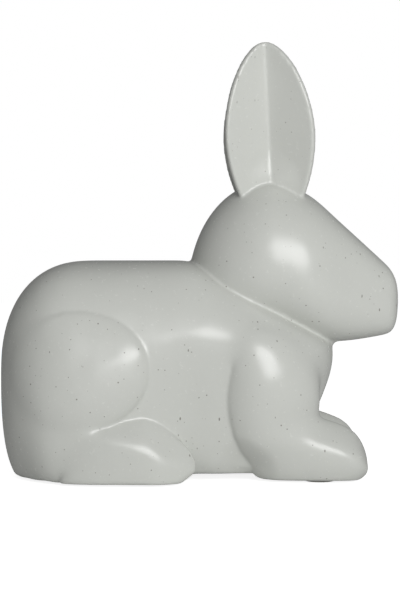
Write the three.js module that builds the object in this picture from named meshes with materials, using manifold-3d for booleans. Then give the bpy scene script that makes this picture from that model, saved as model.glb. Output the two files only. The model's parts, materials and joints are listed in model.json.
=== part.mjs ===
// Crouching rabbit figurine: stoneware castings luted together with slip, standing on felt dots.
// Millimetres, +Z up, nose towards +X, the rabbit's left side towards +Y.
// The origin is on the ground under the middle of the figure.

import * as THREE from "three";
import { mergeVertices } from "three/addons/utils/BufferGeometryUtils.js";
import Module from "manifold-3d";

const wasm = await Module();
wasm.setup();

// Clay, joints and felt
const WALL = 5; // thickness of the hollow castings
const LUTE_GAP = 0.3; // layer of slip between two castings
const GRIND = 3; // clay taken off below the castings so that they stand flat
const FELT_THICKNESS = 1;
const FELT_DIAMETER = 12;
const GLUE = 0.2; // film of glue above the felt

// Trunk; places along the figure are measured from the rump, heights from the flat seat
const TRUNK_LENGTH = 149; // rump to breast
const BACK_HEIGHT = 96;
const RUMP_WIDTH = 87;
const RUMP_WIDEST = 20; // rump to where it is widest
const LOIN_INSET = 3.5; // side of the loin inside the side of the rump
const LOIN_PLACE = 60; // rump to the loin, in front of the thigh
const FLANK_INSET = 4.5; // side of the flank inside the side of the rump
const RUMP_ROUND = 39; // length over which back and sides round into the rump
const RUMP_HEIGHT = 45; // height at which the rump reaches furthest back
const HEEL_ROUND = 12; // length over which the seat rounds up into the rump
const SEAT_LENGTH = 73; // rump to the front edge of the flat seat
const BELLY_STEP = 10; // length of the step up from seat to belly
const BELLY_CLEARANCE = 2; // belly above the seat
const FLANK_HEIGHT = 64; // height of the widest line along the flanks
const FLANK_TUCK = 10; // how far the flanks lean in from that line to the belly
const FLANK_LEAN = 10; // how far the flanks lean in from that line to the back
const RUMP_LEAN = 4; // the same on the rump
const BREAST_HEIGHT = 53; // height at which the breast reaches furthest forward
const BREAST_ROUND = 32; // length over which the belly rounds up into the breast
const SHOULDER_ROUND = 42; // length over which the flanks round into the breast
const VENT_DIAMETER = 12; // hole in the seat that lets the air out in the kiln
const VENT_PLACE = 45; // rump to the vent
const HOLE_CUT = 40; // length of the bars that cut the holes through the wall

// Roundness of the trunk's outlines: 2 is an ellipse, more is squarer
const RUMP_POWER = 2.3;
const HIP_POWER = 2.4;
const HEEL_POWER = 2.5;
const BREAST_POWER = 1.4;
const SHOULDER_POWER = 2.4;
const BACK_POWER = 3.2;
const NAPE_POWER = 4;
const SEAT_CORNER_POWER = 2.7;
const SEAT_POWER = 9;
const BELLY_POWER = 12;
const LEAN_POWER = 1.1; // 1 is a straight lean, more bends it

// Neck, where the back falls from the nape to the throat under the head
const NECK_PLACE = 84; // rump to the nape
const NECK_SLOPE = 30.3; // degrees
const NECK_ARCH = 1; // how far the middle of the neck stands into the head
const NECK_HOLE = 24; // hole in the trunk under the head
const NECK_HOLE_PLACE = 36; // nape to the middle of the hole, along the slope

// Head; places and heights are measured from the middle of the skull
const HEAD_FORWARD = 33.6; // nape to the middle of the skull
const HEAD_LIFT = 4; // middle of the skull above the nape
const HEAD_BACK = 33.2; // reach of the skull backwards
const NAPE_DROP = 12; // furthest place of the skull backwards, below its middle
const SKULL_DROP = 31.5; // underside of the skull below its middle
const HEAD_REACH = 60.6; // reach of the nose forwards
const HEAD_WIDTH = 63;
const CHEEK_DROP = 6; // widest line of the skull below its middle
const CROWN_FORWARD = 2.5;
const CROWN_HEIGHT = 32;
const BROW_FORWARD = 21;
const BROW_HEIGHT = 25.4;
const BRIDGE_FORWARD = 31.4;
const BRIDGE_HEIGHT = 16;
const CHIN_FORWARD = 31.5;
const CHIN_DROP = 40.5;
const CHEEK_FORWARD = 19;
const CHEEK_WIDTH = 60;
const MUZZLE_FORWARD = 41;
const MUZZLE_WIDTH = 37;
const NOSE_WIDTH = 18;
const NOSE_TOP = -10.6; // upper end of the bridge, below the middle of the skull
const NOSE_MIDDLE = -21;
const NOSE_BOTTOM = -36.5;
const NOSE_ROUND = 6;
const SKULL_POWER = 1.85; // roundness, as for the trunk
const NOSE_POWER = 3;
const HEAD_POWER = 2.15;
const MUZZLE_POWER = 2.8;

// Ears, measured from where they leave the crown
const EAR_LENGTH = 64.9;
const EAR_WIDTH = 40.7;
const EAR_WIDEST = 24; // height of the widest place
const EAR_TAPER = 52; // length over which the ear would narrow to nothing downwards
const EAR_ROOT = 16; // length below the crown before the ear is trimmed to it
const EAR_FOLD = 28; // slope of each half of the valley, degrees
const EAR_THICKNESS = 5; // along the valley
const EAR_RIM = 3; // along the rim
const EAR_FORWARD = 3.4; // middle of the skull to the valley
const EAR_RISE = 28; // middle of the skull to the height where the ears leave the crown
const EAR_SPREAD = 18; // between the two valleys
const EAR_LEAN = 10; // outward lean, degrees
const EAR_RAKE = 3.2; // backward lean, degrees
const EAR_TURN = 1; // turn of the valleys towards the front, degrees
const EAR_VALLEY_ROUND = 0.4; // rounding of the bottom of the valley
const EAR_TIP_POWER = 1.8;

// Thighs, which follow the side of the rump and stand proud of it
const THIGH_PLACE = 36.5; // rump to the middle of the thigh
const THIGH_HEIGHT = 48.5; // middle of the thigh
const THIGH_LENGTH = 63;
const THIGH_DEPTH = 52.6;
const THIGH_BACK_RELIEF = 2.4;
const THIGH_MIDDLE_RELIEF = 3.3;
const THIGH_FRONT_RELIEF = 6.2;
const THIGH_TILT = 0.5; // share by which it stands out more at its foot and less at its top
const THIGH_ROOT = 4; // depth of the casting below the rump's side before it is trimmed
const THIGH_POWER = 1.9;

// Hind feet
const FOOT_HEEL = 28; // rump to the heel
const FOOT_INSTEP = 65; // rump to the highest place
const FOOT_TOE = 88; // rump to the toe
const FOOT_HEIGHT = 30.5; // at the instep
const HOCK_PLACE = 39; // rump to where the foot leaves the thigh
const HOCK_HEIGHT = 30;
const FOOT_HEEL_HEIGHT = 26;
const SOLE_END = 77; // rump to where the sole leaves the ground
const TOE_LIFT = 5; // underside of the toe above the ground
const FOOT_RELIEF = 1.2; // foot proud of the rump's side
const FOOT_HALF_WIDTH = 10;
const FOOT_BEVEL = 8; // how far the foot leans in from its ridge to its top
const HOCK_RIDGE = 21; // height of the ridge along the side, at the hock
const INSTEP_RIDGE = 16;
const TOE_RIDGE = 9;
const FOOT_TAPER = 20; // length over which the foot narrows to the toe
const FOOT_POWER = 3.5;
const SOLE_POWER = 6;
const FOOT_HEEL_POWER = 3;
const TOE_POWER = 1.4;
const TAPER_POWER = 1.4;

// Forelegs: the front of the leg runs on into the top of the paw, its back into the sole
const LEG_FRONT = 141.8; // rump to the front of the leg
const LEG_BACK = 100; // rump to the crease behind the elbow
const PAW_HEEL = 118; // rump to the crease behind the paw, at the ground
const PAW_TIP = 162.8; // rump to the tip of the paw
const LEG_WIDEST = 0.42; // widest place of the leg, as a share of the way from back to front
const PAW_WIDEST = 0.65; // the same from the sole to the top of the paw
const LEG_TUCK = 3; // how far the leg reaches behind its crease into the trunk
const SHOULDER_TOP = 72;
const SHOULDER_TOP_LENGTH = 18;
const SHOULDER_TOP_DEPTH = 7; // top of the shoulder inside the side of the flank
const SHOULDER_PLACE = 110; // rump to the top of the shoulder
const SHOULDER_HEIGHT = 63; // above it the shoulder rounds in to its top
const SHOULDER_FRONT = 133; // rump to the front of the shoulder
const SHOULDER_RELIEF = 1.2; // shoulder proud of the side of the flank
const ELBOW_HEIGHT = 46;
const ELBOW_RELIEF = 3.2;
const SHIN_HEIGHT = 34;
const SHIN_RELIEF = 2.2;
const ANKLE_HEIGHT = 28; // where the front of the leg bends into the paw
const ANKLE_DEPTH = 0.5; // outside of the ankle inside the side of the flank
const INSTEP_PLACE = 148; // rump to the instep
const INSTEP_HEIGHT = 25.8;
const INSTEP_REACH = 35.5; // middle of the figure to the outside of the instep
const KNUCKLE_PLACE = 156; // rump to the knuckles
const KNUCKLE_HEIGHT = 22.2;
const KNUCKLE_REACH = 34;
const TOE_PLACE = 160.5; // rump to the front of the toes
const TOE_HEIGHT = 16.5;
const TOE_REACH = 32;
const TIP_HEIGHT = 9.5; // height at which the paw reaches furthest forward
const TIP_REACH = 27;
const TIP_UNDERCUT = 7; // how far below that height the tip turns under
const PAW_INSIDE = 8.5; // middle of the figure to the inside of the paw
const CREASE_POWER = 3.6;
const LEG_POWER = 1.75;
const LEG_BACK_POWER = 2.1;
const PAW_POWER = 1.25;
const PAW_HEEL_POWER = 1.8;

// Felt dots
const SEAT_FELT_PLACE = 38; // rump to the middle of the dots under the seat
const SEAT_FELT_SPREAD = 44; // between the middles of the dots under the seat
const PAW_FELT_SETBACK = 20.8; // tip of the paw to the middle of its dot
const PAW_FELT_SPREAD = 34; // between the middles of the dots under the paws

// Fineness: points around a section and sections along a form
const TRUNK_POINTS = 46;
const RUMP_SECTIONS = 9;
const BACK_SECTIONS = 13;
const BREAST_SECTIONS = 7;
const HEAD_POINTS = 36;
const SKULL_SECTIONS = 8;
const FACE_SECTIONS = 10;
const NOSE_SECTIONS = 4;
const EAR_POINTS = 11;
const EAR_ROOT_SECTIONS = 6;
const EAR_TIP_SECTIONS = 13;
const FOOT_POINTS = 24;
const HEEL_SECTIONS = 7;
const TOE_SECTIONS = 6;
const LEG_POINTS = 28;
const LEG_SECTIONS = 22;
const THIGH_POINTS = 36;
const THIGH_RINGS = 8;
const HOLE_POINTS = 24;
const TRIED = 4; // points tried along an outline for each one kept
const COARSE = 0.5; // share of those numbers used for the hollow inside
const CLOSE_UP = 1.44; // angle that spaces sections towards a rounded end, just under a quarter turn
const WELD = 1e-4; // distance at which two corners are the same one

const glaze = new THREE.MeshStandardMaterial({ color: 0xc3c5c0, roughness: 0.38, metalness: 0 });
const felt = new THREE.MeshStandardMaterial({ color: 0x6f6a62, roughness: 0.95, metalness: 0 });

const RADIANS = Math.PI / 180;

// A quarter of a rounded outline: 1 while u is below 0, falling to 0 where u reaches 1
function roundOff(u, power) {
  const inside = Math.min(Math.max(u, 0), 1);
  return (1 - inside ** power) ** (1 / power);
}

// A smooth line through a few [place, reach] points, which never overshoots between them
function through(points) {
  const slopes = points.slice(1).map(([x, y], i) => (y - points[i][1]) / (x - points[i][0]));
  const tangents = points.map((_, i) => {
    const before = slopes[Math.max(i - 1, 0)];
    const after = slopes[Math.min(i, slopes.length - 1)];
    const mean = (before + after) / 2;
    const steepest = 3 * Math.min(Math.abs(before), Math.abs(after));
    return before * after <= 0 ? 0 : Math.sign(mean) * Math.min(Math.abs(mean), steepest);
  });
  return (x) => {
    const last = points.length - 1;
    if (x <= points[0][0]) return points[0][1];
    if (x >= points[last][0]) return points[last][1];
    const i = points.findIndex(([place]) => place > x) - 1;
    const span = points[i + 1][0] - points[i][0];
    const t = (x - points[i][0]) / span;
    const hermite = new THREE.Vector4(
      2 * t ** 3 - 3 * t ** 2 + 1,
      t ** 3 - 2 * t ** 2 + t,
      3 * t ** 2 - 2 * t ** 3,
      t ** 3 - t ** 2,
    );
    const ends = [points[i][1], span * tangents[i], points[i + 1][1], span * tangents[i + 1]];
    return hermite.dot(new THREE.Vector4(...ends));
  };
}

// Places from start to end, closer together near a rounded end
const easeOut = (start, end, count) =>
  Array.from({ length: count }, (_, i) => start + (end - start) * Math.sin(((i + 1) / count) * CLOSE_UP));
const evenly = (start, end, count) =>
  Array.from({ length: count }, (_, i) => start + ((end - start) * i) / (count - 1));

const superPower = (value, power) => Math.sign(value) * Math.abs(value) ** (2 / power);

// Points spread evenly along a closed outline, which starts at its top
function spreadAlong(count, pointAt) {
  const tried = TRIED * count;
  const dense = Array.from({ length: tried }, (_, i) => pointAt(Math.PI * (0.5 + (2 * i) / tried)));
  const outline = new THREE.CatmullRomCurve3(dense, true);
  outline.arcLengthDivisions = 2 * tried;
  return outline.getSpacedPoints(count).slice(0, count);
}

// A rounded section across the figure, widest at its middle height
function uprightSection(x, form, count) {
  return spreadAlong(count, (angle) => {
    const up = Math.sin(angle);
    const power = up > 0 ? form.upperPower : form.lowerPower;
    const reach = up > 0 ? form.top - form.middle : form.middle - form.bottom;
    const height = superPower(up, power);
    const half = form.half - (up > 0 ? form.lean : form.tuck) * Math.abs(height) ** LEAN_POWER;
    const y = form.side + half * superPower(Math.cos(angle), power);
    return new THREE.Vector3(x, y, form.middle + reach * height);
  });
}

// Reach of such a section to its side at a given height
function reachAt(form, z) {
  const up = z > form.middle;
  const power = up ? form.upperPower : form.lowerPower;
  const height = (z - form.middle) / (up ? form.top - form.middle : form.bottom - form.middle);
  return (form.half - (up ? form.lean : form.tuck) * height ** LEAN_POWER) * roundOff(height, power);
}

// A rounded section of a leg from a point on its front to a point on its back
function legSection(front, back, outside, shape, count) {
  const widest = back.clone().lerp(front, shape.widest);
  const half = (outside - PAW_INSIDE) / 2;
  return spreadAlong(count, (angle) => {
    const forward = Math.sin(angle) > 0;
    const power = forward ? shape.frontPower : shape.backPower;
    const share = superPower(Math.abs(Math.sin(angle)), power);
    const point = widest.clone().lerp(forward ? front : back, share);
    point.y = PAW_INSIDE + half * (1 + superPower(Math.cos(angle), power));
    return point;
  });
}

// A closed skin over rings of equally many points, the same on both sides, with a fan over each end
function skin(rings) {
  const count = rings[0].length;
  const ends = [rings[0], rings.at(-1)].map((ring) =>
    ring.reduce((sum, point) => sum.add(point), new THREE.Vector3()).divideScalar(count));
  const points = [...rings.flat(), ...ends];
  const firstMiddle = rings.length * count;
  const triangles = [];
  for (let j = 0; j < count; j += 1) {
    const next = (j + 1) % count;
    for (let i = 0; i + 1 < rings.length; i += 1) {
      const near = i * count;
      const far = near + count;
      const corners = [near + j, near + next, far + next, far + j];
      const first = j < count / 2 ? 0 : 1;
      const quad = corners.map((_, k) => corners[(k + first) % corners.length]);
      triangles.push(quad[0], quad[1], quad[2], quad[0], quad[2], quad[3]);
    }
    const lastRing = (rings.length - 1) * count;
    triangles.push(firstMiddle, next, j, firstMiddle + 1, lastRing + j, lastRing + next);
  }
  const geometry = new THREE.BufferGeometry().setFromPoints(points);
  geometry.setIndex(triangles);
  return geometry;
}

// Boolean joins and cuts on closed geometry
function solid(geometry) {
  const bare = geometry.clone();
  bare.deleteAttribute("normal");
  bare.deleteAttribute("uv");
  const merged = mergeVertices(bare, WELD);
  const mesh = new wasm.Mesh({
    numProp: 3,
    vertProperties: new Float32Array(merged.attributes.position.array),
    triVerts: new Uint32Array(merged.index.array),
  });
  return new wasm.Manifold(mesh);
}

function geometryOf(body) {
  const mesh = body.getMesh();
  const geometry = new THREE.BufferGeometry();
  geometry.setAttribute("position", new THREE.BufferAttribute(mesh.vertProperties, 3));
  geometry.setIndex(new THREE.BufferAttribute(mesh.triVerts, 1));
  geometry.computeVertexNormals();
  return geometry;
}

const cut = (body, ...tools) => tools.reduce((left, tool) => left.subtract(tool), body);

// Block large enough to cut away all that lies below the seat
const BLOCK = 4 * (TRUNK_LENGTH + HEAD_REACH);
const belowSeat = solid(new THREE.BoxGeometry(BLOCK, BLOCK, BLOCK).translate(0, 0, -BLOCK / 2));

// Section of the trunk at a place, grown or shrunk all round, with its underside at the given floor
function trunkSection(x, grow, floor) {
  const neckHeight = BACK_HEIGHT - (x - NECK_PLACE) * Math.tan(NECK_SLOPE * RADIANS);
  const middle = through([
    [RUMP_ROUND, RUMP_HEIGHT],
    [NECK_PLACE, FLANK_HEIGHT],
    [TRUNK_LENGTH, BREAST_HEIGHT],
  ]);
  const side = through([
    [RUMP_WIDEST, RUMP_WIDTH / 2],
    [LOIN_PLACE, RUMP_WIDTH / 2 - LOIN_INSET],
    [NECK_PLACE, RUMP_WIDTH / 2 - FLANK_INSET],
  ]);
  const underside = through([
    [SEAT_LENGTH, floor],
    [SEAT_LENGTH + BELLY_STEP, Math.max(floor, BELLY_CLEARANCE)],
  ]);
  const backPower = through([[RUMP_ROUND, BACK_POWER], [NECK_PLACE, NAPE_POWER]]);
  const bellyPower = through([
    [HEEL_ROUND, SEAT_CORNER_POWER],
    [RUMP_ROUND, SEAT_POWER],
    [NECK_PLACE, BELLY_POWER],
  ]);
  const tuck = through([[RUMP_ROUND, 0], [NECK_PLACE, FLANK_TUCK]]);
  const lean = through([[RUMP_ROUND, RUMP_LEAN], [NECK_PLACE, FLANK_LEAN]]);
  const breastStart = TRUNK_LENGTH - BREAST_ROUND;
  const shoulderStart = TRUNK_LENGTH - SHOULDER_ROUND;
  const rump = roundOff((RUMP_ROUND - x) / (RUMP_ROUND + grow), RUMP_POWER);
  const hips = roundOff((RUMP_ROUND - x) / (RUMP_ROUND + grow), HIP_POWER);
  const heel = roundOff((HEEL_ROUND - x) / (HEEL_ROUND + grow), HEEL_POWER);
  const breast = roundOff((x - breastStart) / (BREAST_ROUND + grow), BREAST_POWER);
  const shoulders = roundOff((x - shoulderStart) / (SHOULDER_ROUND + grow), SHOULDER_POWER);
  const crown = Math.min(BACK_HEIGHT, neckHeight + NECK_ARCH);
  return {
    side: 0,
    half: (side(x) + grow) * hips * shoulders,
    tuck: tuck(x) * shoulders,
    lean: lean(x) * hips * shoulders,
    middle: middle(x),
    top: middle(x) + (crown - middle(x) + grow) * rump,
    bottom: middle(x) - (middle(x) - underside(x) + grow) * heel * breast,
    upperPower: backPower(x),
    lowerPower: bellyPower(x),
  };
}

// Trunk form, skinned over such sections
function trunkForm(grow, floor, fineness = 1) {
  const breastStart = TRUNK_LENGTH - BREAST_ROUND;
  const places = [
    ...easeOut(RUMP_ROUND, -grow, Math.round(RUMP_SECTIONS * fineness)).reverse(),
    ...evenly(RUMP_ROUND, breastStart, Math.round(BACK_SECTIONS * fineness)),
    ...easeOut(breastStart, TRUNK_LENGTH + grow, Math.round(BREAST_SECTIONS * fineness)),
  ];
  const points = Math.round(TRUNK_POINTS * fineness);
  return skin(places.map((x) => uprightSection(x, trunkSection(x, grow, floor), points)));
}

// Head form about the middle of the skull, grown or shrunk all round
function headForm(grow, fineness = 1) {
  const upper = through([
    [CROWN_FORWARD, CROWN_HEIGHT],
    [BROW_FORWARD, BROW_HEIGHT],
    [BRIDGE_FORWARD, BRIDGE_HEIGHT],
    [HEAD_REACH, NOSE_TOP],
  ]);
  const lower = through([
    [0, -SKULL_DROP],
    [CHIN_FORWARD, -CHIN_DROP],
    [HEAD_REACH, NOSE_BOTTOM],
  ]);
  const middle = through([
    [-HEAD_BACK, -NAPE_DROP],
    [0, -CHEEK_DROP],
    [HEAD_REACH - NOSE_ROUND, NOSE_MIDDLE],
  ]);
  const half = through([
    [EAR_FORWARD, HEAD_WIDTH / 2],
    [CHEEK_FORWARD, CHEEK_WIDTH / 2],
    [MUZZLE_FORWARD, MUZZLE_WIDTH / 2],
    [HEAD_REACH, NOSE_WIDTH / 2],
  ]);
  const power = through([[CHEEK_FORWARD, HEAD_POWER], [MUZZLE_FORWARD, MUZZLE_POWER]]);
  const noseStart = HEAD_REACH + grow - NOSE_ROUND;
  const sectionAt = (x) => {
    const skull = roundOff((CROWN_FORWARD - x) / (CROWN_FORWARD + HEAD_BACK + grow), SKULL_POWER);
    const nose = roundOff((x - noseStart) / NOSE_ROUND, NOSE_POWER);
    const round = skull * nose;
    const form = {
      side: 0,
      half: (half(x) + grow) * round,
      tuck: 0,
      lean: 0,
      middle: middle(x),
      top: middle(x) + (upper(x) - middle(x) + grow) * round,
      bottom: middle(x) - (middle(x) - lower(x) + grow) * round,
      upperPower: power(x),
      lowerPower: power(x),
    };
    return uprightSection(x, form, Math.round(HEAD_POINTS * fineness));
  };
  const places = [
    ...easeOut(CROWN_FORWARD, -HEAD_BACK - grow, Math.round(SKULL_SECTIONS * fineness)).reverse(),
    ...evenly(CROWN_FORWARD, noseStart, Math.round(FACE_SECTIONS * fineness)),
    ...easeOut(noseStart, HEAD_REACH + grow, Math.round(NOSE_SECTIONS * fineness)),
  ];
  return skin(places.map(sectionAt)).translate(NECK_PLACE + HEAD_FORWARD, 0, BACK_HEIGHT + HEAD_LIFT);
}

// Left ear: a leaf folded along a valley that opens outwards, standing on the crown
function earForm() {
  const fold = EAR_FOLD * RADIANS;
  const across = evenly(-1, 1, EAR_POINTS);
  const ringAt = (height) => {
    const tip = roundOff((height - EAR_WIDEST) / (EAR_LENGTH - EAR_WIDEST), EAR_TIP_POWER);
    const below = Math.max(EAR_WIDEST - height, 0) / EAR_TAPER;
    const half = (EAR_WIDTH / 2) * tip * (1 - below ** 2);
    const thin = Math.min(1, half / (2 * EAR_RIM));
    const rimStep = EAR_RIM * thin * Math.sin(fold);
    const front = across.map((t) => {
      const x = (half - rimStep) * t;
      return new THREE.Vector2(x, Math.hypot(x * Math.tan(fold), EAR_VALLEY_ROUND));
    });
    const back = front.map((point, i) => {
      const t = Math.abs(across[i]);
      const thick = thin * (EAR_THICKNESS * (1 - t) + EAR_RIM * t);
      const lean = Math.sin(fold) * across[i];
      return new THREE.Vector2(point.x + thick * lean, point.y - thick * Math.cos(fold));
    });
    const outline = [...front.reverse(), ...back];
    return outline.map((point) => new THREE.Vector3(point.x, point.y, height));
  };
  const heights = [
    ...evenly(-EAR_ROOT, EAR_WIDEST, EAR_ROOT_SECTIONS),
    ...easeOut(EAR_WIDEST, EAR_LENGTH, EAR_TIP_SECTIONS),
  ];
  return skin(heights.map(ringAt))
    .rotateZ(-EAR_TURN * RADIANS)
    .rotateX(-EAR_LEAN * RADIANS)
    .rotateY(-EAR_RAKE * RADIANS)
    .translate(
      NECK_PLACE + HEAD_FORWARD + EAR_FORWARD,
      EAR_SPREAD / 2,
      BACK_HEIGHT + HEAD_LIFT + EAR_RISE,
    );
}

// Left thigh: a pillow with a rounded edge that follows the side of the rump
function thighForm() {
  const relief = through([
    [THIGH_PLACE - THIGH_LENGTH / 2, THIGH_BACK_RELIEF],
    [THIGH_PLACE, THIGH_MIDDLE_RELIEF],
    [THIGH_PLACE + THIGH_LENGTH / 2, THIGH_FRONT_RELIEF],
  ]);
  const ringAt = (share, depthAt) => evenly(0, 2 * Math.PI, THIGH_POINTS + 1).slice(1).map((angle) => {
    const x = THIGH_PLACE + (THIGH_LENGTH / 2) * share * Math.sin(angle);
    const z = THIGH_HEIGHT + (THIGH_DEPTH / 2) * share * Math.cos(angle);
    const y = reachAt(trunkSection(x, 0, -GRIND), z) + depthAt(x, 1 - THIGH_TILT * share * Math.cos(angle));
    return new THREE.Vector3(x, y, z);
  });
  const shares = evenly(1, 0, THIGH_RINGS).map((t) => Math.sin((t * Math.PI) / 2)).slice(0, -1);
  const root = [...shares].reverse().map((share) => ringAt(share, () => -THIGH_ROOT));
  const dome = shares.map((share) =>
    ringAt(share, (x, tilt) => relief(x) * tilt * roundOff(share, THIGH_POWER)));
  return skin([...root, ...dome]);
}

// Left hind foot: a long low form along the ground, highest at the instep, grown all round
function footForm(grow) {
  const top = through([
    [FOOT_HEEL, FOOT_HEEL_HEIGHT],
    [HOCK_PLACE, HOCK_HEIGHT],
    [FOOT_INSTEP, FOOT_HEIGHT],
  ]);
  const sole = through([[SOLE_END, -GRIND], [FOOT_TOE, TOE_LIFT]]);
  const ridge = through([
    [HOCK_PLACE, HOCK_RIDGE],
    [FOOT_INSTEP, INSTEP_RIDGE],
    [FOOT_TOE, TOE_RIDGE],
  ]);
  const outside = RUMP_WIDTH / 2 + FOOT_RELIEF;
  const sectionAt = (x) => {
    const toe = roundOff((x - FOOT_INSTEP) / (FOOT_TOE - FOOT_INSTEP + grow), TOE_POWER);
    const heel = roundOff((FOOT_INSTEP - x) / (FOOT_INSTEP - FOOT_HEEL + grow), FOOT_HEEL_POWER);
    const taper = roundOff((x - FOOT_TOE + FOOT_TAPER) / (FOOT_TAPER + grow), TAPER_POWER);
    const form = {
      side: outside - FOOT_HALF_WIDTH,
      half: (FOOT_HALF_WIDTH + grow) * taper * heel,
      tuck: 0,
      lean: FOOT_BEVEL * taper * heel,
      middle: sole(x) + GRIND + ridge(x) * toe,
      top: sole(x) + GRIND + (top(x) + grow) * toe,
      bottom: sole(x) - grow,
      upperPower: FOOT_POWER,
      lowerPower: SOLE_POWER,
    };
    return uprightSection(x, form, FOOT_POINTS);
  };
  const places = [
    ...easeOut(FOOT_INSTEP, FOOT_HEEL - grow, HEEL_SECTIONS).reverse(),
    FOOT_INSTEP,
    ...easeOut(FOOT_INSTEP, FOOT_TOE + grow, TOE_SECTIONS),
  ];
  return skin(places.map(sectionAt));
}

// Line of the crease behind the foreleg, which runs forward towards the heel of the paw
const legCrease = (z) =>
  LEG_BACK + (PAW_HEEL - LEG_BACK) * Math.min(Math.max(1 - z / ELBOW_HEIGHT, 0), 1) ** CREASE_POWER;

// Left foreleg: a rounded shoulder, a broad leg and a paw that bends forward along the ground
function forelegForm() {
  const rear = (z) => [legCrease(z) - LEG_TUCK, z];
  const topFront = SHOULDER_PLACE + SHOULDER_TOP_LENGTH / 2;
  const topBack = topFront - SHOULDER_TOP_LENGTH;
  const flank = RUMP_WIDTH / 2 - FLANK_INSET;
  const middleOfSole = INSTEP_PLACE - INSTEP_HEIGHT / 2;
  const leg = { widest: LEG_WIDEST, frontPower: LEG_POWER, backPower: LEG_BACK_POWER };
  const ankle = { ...leg, backPower: PAW_HEEL_POWER };
  const instep = { widest: PAW_WIDEST, frontPower: PAW_POWER, backPower: PAW_HEEL_POWER };
  const paw = { ...instep, backPower: LEG_BACK_POWER };
  const stations = [
    [[topFront, SHOULDER_TOP], [topBack, SHOULDER_TOP], flank - SHOULDER_TOP_DEPTH, leg],
    [[SHOULDER_FRONT, SHOULDER_HEIGHT], rear(SHOULDER_HEIGHT), flank + SHOULDER_RELIEF, leg],
    [[LEG_FRONT, ELBOW_HEIGHT], rear(ELBOW_HEIGHT), flank + ELBOW_RELIEF, leg],
    [[LEG_FRONT, SHIN_HEIGHT], rear(SHIN_HEIGHT), flank + SHIN_RELIEF, leg],
    [[LEG_FRONT, ANKLE_HEIGHT], rear(ANKLE_HEIGHT / 2), flank - ANKLE_DEPTH, ankle],
    [[INSTEP_PLACE, INSTEP_HEIGHT], rear(0), INSTEP_REACH, instep],
    [[KNUCKLE_PLACE, KNUCKLE_HEIGHT], [middleOfSole, -GRIND], KNUCKLE_REACH, paw],
    [[TOE_PLACE, TOE_HEIGHT], [KNUCKLE_PLACE, -GRIND], TOE_REACH, paw],
    [[PAW_TIP, TIP_HEIGHT], [PAW_TIP, TIP_HEIGHT - TIP_UNDERCUT], TIP_REACH, leg],
  ];
  const line = (pick) => new THREE.CatmullRomCurve3(stations.map(pick));
  const fronts = line(([[x, z]]) => new THREE.Vector3(x, 0, z));
  const backs = line(([, [x, z]]) => new THREE.Vector3(x, 0, z));
  const along = (pick) => through(stations.map((station, i) => [i / (stations.length - 1), pick(station)]));
  const reaches = along(([, , reach]) => reach);
  const shapeAt = (t) => ({
    widest: along(([, , , shape]) => shape.widest)(t),
    frontPower: along(([, , , shape]) => shape.frontPower)(t),
    backPower: along(([, , , shape]) => shape.backPower)(t),
  });
  const rings = evenly(0, 1, LEG_SECTIONS).map((t) =>
    legSection(fronts.getPoint(t), backs.getPoint(t), reaches(t), shapeAt(t), LEG_POINTS));
  return skin(rings);
}

// Castings, each trimmed to its neighbours with room for the slip between them
const trunkOutside = solid(trunkForm(0, -GRIND));
const trunkInside = solid(trunkForm(-WALL, 0, COARSE));
const trunkWithSlip = solid(trunkForm(LUTE_GAP, -GRIND));
const neckHole = solid(
  new THREE.CylinderGeometry(NECK_HOLE / 2, NECK_HOLE / 2, HOLE_CUT, HOLE_POINTS)
    .rotateX(Math.PI / 2)
    .translate(NECK_HOLE_PLACE, 0, 0)
    .rotateY(NECK_SLOPE * RADIANS)
    .translate(NECK_PLACE, 0, BACK_HEIGHT),
);
const vent = solid(
  new THREE.CylinderGeometry(VENT_DIAMETER / 2, VENT_DIAMETER / 2, HOLE_CUT, HOLE_POINTS)
    .rotateX(Math.PI / 2)
    .translate(VENT_PLACE, 0, 0),
);
const trunk = cut(trunkOutside, belowSeat, trunkInside, neckHole, vent);

const headWithSlip = solid(headForm(LUTE_GAP));
const head = cut(solid(headForm(0)), solid(headForm(-WALL, COARSE)), trunkWithSlip);

const ear = cut(solid(earForm()), headWithSlip);
const foot = cut(solid(footForm(0)), trunkWithSlip, belowSeat);
const thigh = cut(solid(thighForm()), trunkWithSlip, solid(footForm(LUTE_GAP)));
const foreleg = cut(solid(forelegForm()), trunkWithSlip, belowSeat);

// Assembly
const castings = new THREE.Group();
castings.position.z = FELT_THICKNESS + GLUE;

function addCasting(name, body, mirrored = false) {
  const mesh = new THREE.Mesh(geometryOf(body), glaze.clone());
  mesh.name = name;
  mesh.scale.y = mirrored ? -1 : 1;
  castings.add(mesh);
}

addCasting("trunk_shell", trunk);
addCasting("head_shell", head);
for (const [part, body] of Object.entries({ ear, foreleg, thigh, hind_foot: foot })) {
  addCasting(`${part}_left`, body);
  addCasting(`${part}_right`, body, true);
}

const dots = new THREE.Group();
function addFeltDot(name, x, y) {
  const radius = FELT_DIAMETER / 2;
  const disc = new THREE.CylinderGeometry(radius, radius, FELT_THICKNESS, HOLE_POINTS);
  const mesh = new THREE.Mesh(disc, felt.clone());
  mesh.name = name;
  mesh.rotation.x = Math.PI / 2;
  mesh.position.set(x, y, FELT_THICKNESS / 2);
  dots.add(mesh);
}

for (const [sideName, side] of [["left", 1], ["right", -1]]) {
  addFeltDot(`seat_felt_${sideName}`, SEAT_FELT_PLACE, (side * SEAT_FELT_SPREAD) / 2);
  addFeltDot(`paw_felt_${sideName}`, PAW_TIP - PAW_FELT_SETBACK, (side * PAW_FELT_SPREAD) / 2);
}

const figure = new THREE.Group();
figure.add(castings, dots);
const reach = new THREE.Box3().setFromObject(figure);
figure.position.x = -(reach.min.x + reach.max.x) / 2;

const rabbit = new THREE.Group();
rabbit.name = "rabbit_figurine";
rabbit.add(figure);

export default rabbit;
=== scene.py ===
import json
import math

import bpy
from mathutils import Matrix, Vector
from mathutils.bvhtree import BVHTree

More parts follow.
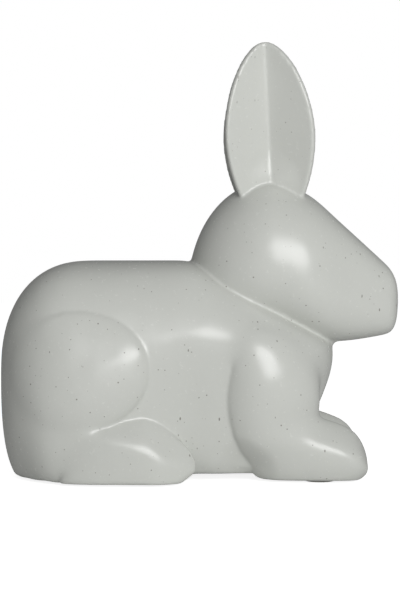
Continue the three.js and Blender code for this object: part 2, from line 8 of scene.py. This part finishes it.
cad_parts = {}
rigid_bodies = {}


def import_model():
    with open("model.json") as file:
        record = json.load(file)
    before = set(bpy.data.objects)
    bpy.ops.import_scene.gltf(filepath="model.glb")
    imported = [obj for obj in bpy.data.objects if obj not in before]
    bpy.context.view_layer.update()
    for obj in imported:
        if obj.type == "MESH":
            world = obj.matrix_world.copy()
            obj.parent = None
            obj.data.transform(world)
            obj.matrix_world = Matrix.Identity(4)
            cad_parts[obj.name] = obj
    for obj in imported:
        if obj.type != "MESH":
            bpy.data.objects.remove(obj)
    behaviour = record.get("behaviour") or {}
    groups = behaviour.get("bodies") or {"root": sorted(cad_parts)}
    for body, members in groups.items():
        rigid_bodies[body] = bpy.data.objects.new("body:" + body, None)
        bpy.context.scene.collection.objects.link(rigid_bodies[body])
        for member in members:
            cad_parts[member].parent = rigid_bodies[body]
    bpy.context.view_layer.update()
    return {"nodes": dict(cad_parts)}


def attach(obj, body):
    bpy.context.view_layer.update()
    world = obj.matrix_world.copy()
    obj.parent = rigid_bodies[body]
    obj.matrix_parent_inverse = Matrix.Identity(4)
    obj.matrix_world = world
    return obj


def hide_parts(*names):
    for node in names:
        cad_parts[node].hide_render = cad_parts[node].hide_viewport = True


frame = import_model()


# Trunk: a hollow stoneware casting with a flat, ground seat and a kiln vent in it.
# It comes smooth out of its plaster mould, so the facets of the drawing are rounded off.
# The vent is stopped some way up, where it opens into the dark hollow.
WELD = 0.00001  # corners of the drawing that lie closer are one, in metres
NEARLY_FLAT = math.radians(25)  # two facets that bend less may be one
NEARLY_SQUARE = math.radians(60)  # and so may two whose corners are less askew
SHARP = math.radians(32)  # an edge that bends more stays an edge
CURVE_LEVELS = 2
CLAY_GRAIN = 0.0006  # the finest form that the clay takes
SMOOTHING = 0.5  # share of the way to its neighbours that a point moves in a pass


def only(piece):
    bpy.ops.object.select_all(action="DESELECT")
    piece.select_set(True)
    bpy.context.view_layer.objects.active = piece


def copy_of(node):
    only(frame["nodes"][node])
    bpy.ops.object.duplicate()
    piece = bpy.context.view_layer.objects.active
    bpy.ops.object.parent_clear(type="CLEAR_KEEP_TRANSFORM")
    bpy.ops.object.mode_set(mode="EDIT")
    bpy.ops.mesh.select_all(action="SELECT")
    bpy.ops.mesh.remove_doubles(threshold=WELD)
    bpy.ops.mesh.normals_make_consistent(inside=False)
    bpy.ops.object.mode_set(mode="OBJECT")
    return piece


def apply(piece, kind, **settings):
    only(piece)
    modifier = piece.modifiers.new(kind, kind)
    for name, value in settings.items():
        setattr(modifier, name, value)
    bpy.ops.object.modifier_apply(modifier=modifier.name)


def rounded(piece, passes, grain=CLAY_GRAIN):
    only(piece)
    bpy.ops.object.mode_set(mode="EDIT")
    bpy.ops.mesh.select_mode(type="EDGE")
    bpy.ops.mesh.select_all(action="SELECT")
    bpy.ops.mesh.tris_convert_to_quads(face_threshold=NEARLY_FLAT, shape_threshold=NEARLY_SQUARE)
    bpy.ops.mesh.select_all(action="DESELECT")
    bpy.ops.mesh.edges_select_sharp(sharpness=SHARP)
    bpy.ops.transform.edge_crease(value=1)
    bpy.ops.object.mode_set(mode="OBJECT")
    apply(piece, "SUBSURF", levels=CURVE_LEVELS, render_levels=CURVE_LEVELS)
    apply(piece, "REMESH", mode="VOXEL", voxel_size=grain)
    apply(piece, "SMOOTH", factor=SMOOTHING, iterations=passes)


castings = {}
trunk_cad = copy_of("trunk_shell")
castings["trunk_shell"] = copy_of("trunk_shell")
rounded(castings["trunk_shell"], passes=40)
vent_middle = (-0.0442, 0, 0.0085)
bpy.ops.mesh.primitive_cylinder_add(vertices=48, radius=0.009, depth=0.006, location=vent_middle)
vent_stop = bpy.context.active_object


# Thighs: solid stoneware castings, one on each side of the rump.
# They are pressed into the soft trunk and luted with slip, so that only their domes stand out.
SIDES = ("left", "right")
SEAM_REACH = 0.0007  # a face that is closer to its neighbour may lie in the seam
SEAM_FACING = -0.5  # and it does where the two face each other
PRESSED = 0.003  # how deep a casting goes into its neighbour


def nothing_selected(piece, kind):
    only(piece)
    bpy.ops.object.mode_set(mode="EDIT")
    bpy.ops.mesh.select_mode(type=kind)
    bpy.ops.mesh.select_all(action="DESELECT")
    bpy.ops.object.mode_set(mode="OBJECT")


def pressed_into(piece, neighbour):
    tree = BVHTree.FromObject(neighbour, bpy.context.evaluated_depsgraph_get())
    nothing_selected(piece, "FACE")
    for face in piece.data.polygons:
        _, normal, _, distance = tree.find_nearest(face.center)
        face.select = distance < SEAM_REACH and face.normal.dot(normal) < SEAM_FACING
    bpy.ops.object.mode_set(mode="EDIT")
    bpy.ops.mesh.extrude_region_shrink_fatten(TRANSFORM_OT_shrink_fatten={"value": PRESSED})
    bpy.ops.object.mode_set(mode="OBJECT")


foot_cads = {side: copy_of("hind_foot_" + side) for side in SIDES}
for side in SIDES:
    thigh = copy_of("thigh_" + side)
    pressed_into(thigh, trunk_cad)
    pressed_into(thigh, foot_cads[side])
    rounded(thigh, passes=20)
    castings["thigh_" + side] = thigh


# Hind feet: solid stoneware castings that lie along the bottom of the rump.
# Each is pressed into the trunk under its thigh and luted there with slip.
for side in SIDES:
    foot = copy_of("hind_foot_" + side)
    pressed_into(foot, trunk_cad)
    rounded(foot, passes=20)
    castings["hind_foot_" + side] = foot


# Forelegs: solid stoneware castings, boot-shaped, from the shoulder down into the paw.
# Leg and paw come out of one mould, and are luted with slip to the side of the chest.
for side in SIDES:
    leg = copy_of("foreleg_" + side)
    pressed_into(leg, trunk_cad)
    rounded(leg, passes=25)
    castings["foreleg_" + side] = leg


# Head: a hollow stoneware casting, open at the neck.
# It is set on the trunk's sloping neck and luted there with slip.
head_cad = copy_of("head_shell")
head = copy_of("head_shell")
pressed_into(head, trunk_cad)
rounded(head, passes=35)
castings["head_shell"] = head


# Ears: thin, solid stoneware castings, folded along a valley.
# Each is pressed onto the crown of the head and luted there with slip.
EAR_GRAIN = 0.0005
for side in SIDES:
    ear = copy_of("ear_" + side)
    pressed_into(ear, head_cad)
    rounded(ear, passes=3, grain=EAR_GRAIN)
    castings["ear_" + side] = ear


# Glaze coat: fired over the whole figure, it runs on from casting to casting.
# It fills the seams a little, so one skin is drawn over all the castings.
# Each face of the skin is marked with the casting that it lies on.
GLAZE_GRAIN = 0.0007
GLAZE_PASSES = 5
for spare in [trunk_cad, head_cad, *foot_cads.values()]:
    bpy.data.objects.remove(spare)
bpy.ops.object.select_all(action="DESELECT")
for node, piece in castings.items():
    piece.data.materials.clear()
    piece.data.materials.append(bpy.data.materials.new(node))
    piece.select_set(True)
vent_stop.data.materials.append(bpy.data.materials["trunk_shell"])
vent_stop.select_set(True)
bpy.context.view_layer.objects.active = castings["trunk_shell"]
bpy.ops.object.join()
inside = bpy.context.active_object
only(inside)
bpy.ops.object.duplicate()
skin = bpy.context.active_object
apply(skin, "REMESH", mode="VOXEL", voxel_size=GLAZE_GRAIN)

# The skin inside the hollows is dropped: what hangs together with the nose is the outside
nothing_selected(skin, "VERT")
nose = max(skin.data.vertices, key=lambda vertex: vertex.co.x)
nose.select = True
bpy.ops.object.mode_set(mode="EDIT")
bpy.ops.mesh.select_linked()
bpy.ops.mesh.select_all(action="INVERT")
bpy.ops.mesh.delete(type="VERT")
bpy.ops.object.mode_set(mode="OBJECT")

tree = BVHTree.FromObject(inside, bpy.context.evaluated_depsgraph_get())
marks = [material.name for material in inside.data.materials]
places = [face.material_index for face in inside.data.polygons]
skin.data.materials.clear()
for mark in marks:
    skin.data.materials.append(bpy.data.materials[mark])
for face in skin.data.polygons:
    face.material_index = places[tree.find_nearest(face.center)[2]]
bpy.data.objects.remove(inside)

apply(skin, "SMOOTH", factor=SMOOTHING, iterations=GLAZE_PASSES)


# Sponged seams: where a casting runs out flat into its neighbour, its edge is lost in the clay.
# A wet sponge has taken the seam away on haunch, shoulder and paw before firing.
# The places are in millimetres: along from the rump, out from the middle, up from the seat.
MILLIMETRES = 1000
RUMP_TO_MIDDLE = 89.24
SEAT_HEIGHT = 1.2  # felt and glue under the castings


def ramp(value, start, end):
    share = min(max((value - start) / (end - start), 0), 1)
    return share * share * (3 - 2 * share)


def sponge(piece, weight_at, passes):
    group = piece.vertex_groups.new(name="sponged")
    for vertex in piece.data.vertices:
        x, y, z = MILLIMETRES * vertex.co
        weight = weight_at(x + RUMP_TO_MIDDLE, abs(y), z - SEAT_HEIGHT)
        if weight > 0:
            group.add([vertex.index], weight, "REPLACE")
    apply(piece, "SMOOTH", factor=SMOOTHING, iterations=passes, vertex_group="sponged")
    piece.vertex_groups.clear()


def haunch(x, y, z):
    border = 18 + 0.47 * (75 - z)
    behind = ramp(x, border + 7, border - 9)
    above_seat = ramp(z, 3, 9)
    below_back = ramp(z, 92, 84)
    on_side = ramp(y, 8, 18)
    return behind * above_seat * below_back * on_side


def shoulder(x, y, z):
    below_neck = 96 - 0.584 * (x - 84) - z
    top_behind = ramp(z, 50, 58) * ramp(x, 88, 98)
    top_ahead = ramp(z, 44, 52) * ramp(x, 105, 113)
    chest = ramp(x, 122, 132) * ramp(z, 34, 44)
    on_side = ramp(y, 8, 18)
    return max(top_behind, top_ahead, chest) * ramp(below_neck, 3, 9) * on_side


def paw_ridge(x, y, z):
    ahead = ramp(x, 122, 132)
    above_sole = ramp(z, 5, 10)
    below_shin = ramp(z, 27, 22)
    on_side = ramp(y, 20, 27)
    return ahead * above_sole * below_shin * on_side


sponge(skin, haunch, passes=250)
sponge(skin, shoulder, passes=250)
sponge(skin, paw_ridge, passes=80)


# Thumbed clay: small touches made by hand while the joined castings are still soft.
# A thumb has smeared clay into the foot of each ear's valley, which fills it.
# Another touch has hollowed the clay behind each paw.
def thumbed(piece, place, push, reach):
    nearest = min(piece.data.vertices, key=lambda vertex: (vertex.co - place).length).index
    nothing_selected(piece, "VERT")
    piece.data.vertices[nearest].select = True
    bpy.ops.object.mode_set(mode="EDIT")
    bpy.ops.transform.translate(
        value=push, use_proportional_edit=True, use_proportional_connected=True,
        proportional_edit_falloff="SMOOTH", proportional_size=reach)
    bpy.ops.object.mode_set(mode="OBJECT")


for outward in (1, -1):
    valley_foot = Vector((0.0318, outward * 0.0098, 0.1315))
    thumbed(skin, valley_foot, push=(0, outward * 0.0024, 0), reach=0.015)
    behind_paw = Vector((0.019, outward * 0.034, 0.004))
    thumbed(skin, behind_paw, push=(0, -outward * 0.0045, 0), reach=0.016)


# Glazed castings: the skin is parted along the seams, so that each casting is a piece again.
# Each is closed where it was luted to its neighbours, behind a lip that turns in.
# The sheen runs on across the seams, as one coat of glaze does.
LIP = 0.9  # size of the lip's inner edge beside its outer one
only(skin)
bpy.ops.object.shade_smooth()
bpy.ops.object.duplicate()
whole = bpy.context.active_object
only(skin)
bpy.ops.object.mode_set(mode="EDIT")
bpy.ops.mesh.select_all(action="SELECT")
bpy.ops.mesh.separate(type="MATERIAL")
bpy.ops.object.mode_set(mode="OBJECT")
pieces = {piece.data.materials[0].name: piece for piece in bpy.context.selected_objects}
bpy.context.scene.tool_settings.transform_pivot_point = "INDIVIDUAL_ORIGINS"
for piece in pieces.values():
    only(piece)
    bpy.ops.object.mode_set(mode="EDIT")
    bpy.ops.mesh.select_mode(type="EDGE")
    bpy.ops.mesh.select_all(action="DESELECT")
    bpy.ops.mesh.select_non_manifold()
    bpy.ops.mesh.extrude_edges_move()
    bpy.ops.transform.resize(value=(LIP, LIP, LIP))
    bpy.ops.mesh.fill_holes(sides=0)
    bpy.ops.mesh.select_all(action="SELECT")
    bpy.ops.mesh.normals_make_consistent(inside=False)
    bpy.ops.object.mode_set(mode="OBJECT")
    apply(piece, "DATA_TRANSFER", object=whole, use_loop_data=True,
          data_types_loops={"CUSTOM_NORMAL"}, loop_mapping="POLYINTERP_NEAREST")
bpy.data.objects.remove(whole)


# Satin glaze: a pale grey with a breath of green, fired to a soft sheen.
# The stoneware under it bleeds iron through in round and long specks, fainter on the head.
# It is a little cloudy, and its surface swells where it ran thicker.
GREY = (0.585, 0.60, 0.562, 1)
PALE_GREY = (0.635, 0.645, 0.612, 1)
IRON = (0.13, 0.115, 0.095, 1)
IRON_STRENGTH = 0.75
IRON_ROUGHNESS = 0.1
SHEEN_ROUGHNESS = 0.26
MOTTLE_ROUGHNESS = 0.08
NOISE_MEAN = 0.5
CLOUD_SHARE = 0.5
MOTTLE_SHARE = 0.35
HEAD_FADE = 0.35  # how much fainter the specks are on the head
RAGGED_GRAIN = 0.0006
RAGGED_LEAST = 0.7
RAGGED_SPAN = 0.6
SPECK_CORE = 0.55  # share of a speck's radius where its edge begins to fade
SWELL_HEIGHT = 0.0006


class Socket:
    def __init__(self, tree, socket):
        self.tree = tree
        self.socket = socket

    def node(self, kind, settings, inputs, output=0):
        node = self.tree.nodes.new(kind)
        for name, value in settings.items():
            setattr(node, name, value)
        for name, value in inputs.items():
            if isinstance(value, Socket):
                self.tree.links.new(value.socket, node.inputs[name])
            else:
                node.inputs[name].default_value = value
        return Socket(self.tree, node.outputs[output])

    def maths(self, operation, first, second):
        return self.node("ShaderNodeMath", {"operation": operation}, {0: first, 1: second})

    def __add__(self, other):
        return self.maths("ADD", self, other)

    __radd__ = __add__

    def __mul__(self, other):
        return self.maths("MULTIPLY", self, other)

    __rmul__ = __mul__

    def __sub__(self, other):
        return self.maths("SUBTRACT", self, other)

    def __rsub__(self, other):
        return self.maths("SUBTRACT", other, self)

    def __truediv__(self, other):
        return self.maths("DIVIDE", self, other)

    def step(self, low, high):
        settings = {"interpolation_type": "SMOOTHSTEP"}
        inputs = {"Value": self, "From Min": low, "From Max": high}
        return self.node("ShaderNodeMapRange", settings, inputs)

    def mixed(self, first, second):
        settings = {"data_type": "RGBA"}
        return self.node("ShaderNodeMix", settings, {0: self, 6: first, 7: second}, 2)

    def scaled(self, factors):
        settings = {"operation": "MULTIPLY"}
        return self.node("ShaderNodeVectorMath", settings, {0: self, 1: factors})

    def noise(self, size, detail=2.0):
        inputs = {"Vector": self, "Scale": 1 / size, "Detail": detail}
        return self.node("ShaderNodeTexNoise", {}, inputs)


def new_material(name):
    material = bpy.data.materials.new(name)
    material.use_nodes = True
    tree = material.node_tree
    shader = tree.nodes["Principled BSDF"]
    place = Socket(tree, tree.nodes.new("ShaderNodeTexCoord").outputs["Object"])
    return material, tree, shader, place


def specks(place, size, small, large, stretch):
    ragged = place.noise(RAGGED_GRAIN)
    cells = place.scaled(stretch)
    settings = {"feature": "F1", "voronoi_dimensions": "3D"}
    inputs = {"Vector": cells, "Scale": 1 / size}
    distance = cells.node("ShaderNodeTexVoronoi", settings, inputs, "Distance")
    colour = cells.node("ShaderNodeTexVoronoi", settings, inputs, "Color")
    chance = colour.node("ShaderNodeSeparateColor", {}, {0: colour}, 0)
    radius = (small + (large - small) * chance * chance) / size
    edge = distance * (RAGGED_LEAST + RAGGED_SPAN * ragged) / radius
    return 1 - edge.step(SPECK_CORE, 1)


glaze, tree, shader, place = new_material("satin_glaze")
height = place.node("ShaderNodeSeparateXYZ", {}, {0: place}, 2)
cloud = place.noise(size=0.03)
mottle = place.noise(size=0.0016, detail=3.0)
clouded = (cloud - NOISE_MEAN) * CLOUD_SHARE
tone = NOISE_MEAN + clouded + (mottle - NOISE_MEAN) * MOTTLE_SHARE
ground = tone.mixed(GREY, PALE_GREY)
round_specks = specks(place, size=0.0029, small=0.00012, large=0.00046, stretch=(1, 1, 1))
long_specks = specks(place, size=0.0042, small=0.0001, large=0.00046, stretch=(1, 1, 0.45))
fainter = 1 - HEAD_FADE * height.step(low=0.085, high=0.13)
iron = round_specks.maths("MAXIMUM", round_specks, long_specks) * fainter
colour = (iron * IRON_STRENGTH).mixed(ground, IRON)
tree.links.new(colour.socket, shader.inputs["Base Color"])
rough = SHEEN_ROUGHNESS + (mottle - NOISE_MEAN) * MOTTLE_ROUGHNESS + iron * IRON_ROUGHNESS
tree.links.new(rough.socket, shader.inputs["Roughness"])
waves = place.noise(size=0.022, detail=0.0) * 0.8 + place.noise(size=0.008, detail=0.0) * 0.2
inputs = {"Strength": 1.0, "Distance": SWELL_HEIGHT, "Height": waves}
swell = waves.node("ShaderNodeBump", {}, inputs)
tree.links.new(swell.socket, shader.inputs["Normal"])

for node, piece in pieces.items():
    piece.name = node.replace("_shell", "") + "_glazed"
    piece.data.materials.clear()
    piece.data.materials.append(glaze)
    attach(piece, "root")
    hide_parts(node)
for mark in marks:
    bpy.data.materials.remove(bpy.data.materials[mark])


# Felt dots: pale pressed wool, punched out of a sheet.
# Four of them are glued under the seat and the paws, and the figure stands on them.
DARK_WOOL = (0.5, 0.49, 0.46, 1)
PALE_WOOL = (0.68, 0.67, 0.64, 1)
WOOL_ROUGHNESS = 0.85
FIBRE_ROUGHNESS = 0.12
wool, tree, shader, place = new_material("pale_felt")
fibre = place.noise(size=0.0004, detail=3.0)
colour = fibre.mixed(DARK_WOOL, PALE_WOOL)
tree.links.new(colour.socket, shader.inputs["Base Color"])
rough = WOOL_ROUGHNESS + FIBRE_ROUGHNESS * fibre
tree.links.new(rough.socket, shader.inputs["Roughness"])
for node in ("seat_felt_left", "seat_felt_right", "paw_felt_left", "paw_felt_right"):
    dot = copy_of(node)
    dot.name = node + "_dot"
    only(dot)
    bpy.ops.object.transform_apply(location=True, rotation=True, scale=True)
    dot.data.materials.clear()
    dot.data.materials.append(wool)
    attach(dot, "root")
    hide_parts(node)


# Studio: white paper for a floor, which runs out of sight into a white wall.
# One large soft light stands to the right, and little light comes from elsewhere.
# The camera looks at the figure's side, almost level.
PAPER = (0.92, 0.92, 0.92, 1)
PAPER_GLOW = 0.85  # burns the paper out to white, for the camera alone
ROOM = (0.19, 0.19, 0.19, 1)
WALL = (1, 1, 1, 1)
LIGHT_DISTANCE = 1.1
CAMERA_TILT = 1.385  # degrees below level


def by_camera_ray(tree, other, seen, output):
    path = tree.nodes.new("ShaderNodeLightPath")
    choose = tree.nodes.new("ShaderNodeMixShader")
    tree.links.new(path.outputs["Is Camera Ray"], choose.inputs[0])
    tree.links.new(other.outputs[0], choose.inputs[1])
    tree.links.new(seen.outputs[0], choose.inputs[2])
    tree.links.new(choose.outputs[0], tree.nodes[output].inputs["Surface"])


bpy.ops.mesh.primitive_plane_add(size=6, location=(0, 0, -0.0001))
floor = bpy.context.active_object
floor.name = "floor"
white, tree, shader, place = new_material("floor_paper")
shader.inputs["Base Color"].default_value = PAPER
shader.inputs["Roughness"].default_value = 1
shader.inputs["Specular IOR Level"].default_value = 0
lit = tree.nodes.new("ShaderNodeEmission")
lit.inputs["Strength"].default_value = PAPER_GLOW
both = tree.nodes.new("ShaderNodeAddShader")
tree.links.new(shader.outputs[0], both.inputs[0])
tree.links.new(lit.outputs[0], both.inputs[1])
by_camera_ray(tree, shader, both, "Material Output")
floor.data.materials.append(white)

world = bpy.data.worlds.new("studio")
bpy.context.scene.world = world
world.use_nodes = True
tree = world.node_tree
room = tree.nodes["Background"]
room.inputs["Color"].default_value = ROOM
wall = tree.nodes.new("ShaderNodeBackground")
wall.inputs["Color"].default_value = WALL
by_camera_ray(tree, room, wall, "World Output")

around = math.radians(19)
above = math.radians(14)
aim = Vector((0, 0, 0.09))
level = math.cos(above)
towards = Vector((math.sin(around) * level, -math.cos(around) * level, math.sin(above)))
bpy.ops.object.light_add(type="AREA", location=aim + LIGHT_DISTANCE * towards)
key = bpy.context.active_object
key.data.shape = "ELLIPSE"
key.data.size = 0.72
key.data.size_y = 0.55
key.data.energy = 7.7
key.rotation_euler = (-towards).to_track_quat("-Z", "Y").to_euler()

bpy.ops.object.camera_add(location=(0, -0.8, 0.0987))
camera = bpy.context.active_object
camera.rotation_euler = (math.radians(90 - CAMERA_TILT), 0, 0)
camera.data.lens = 106.7
camera.data.sensor_width = 36
bpy.context.scene.camera = camera
bpy.context.scene.view_settings.view_transform = "Standard"
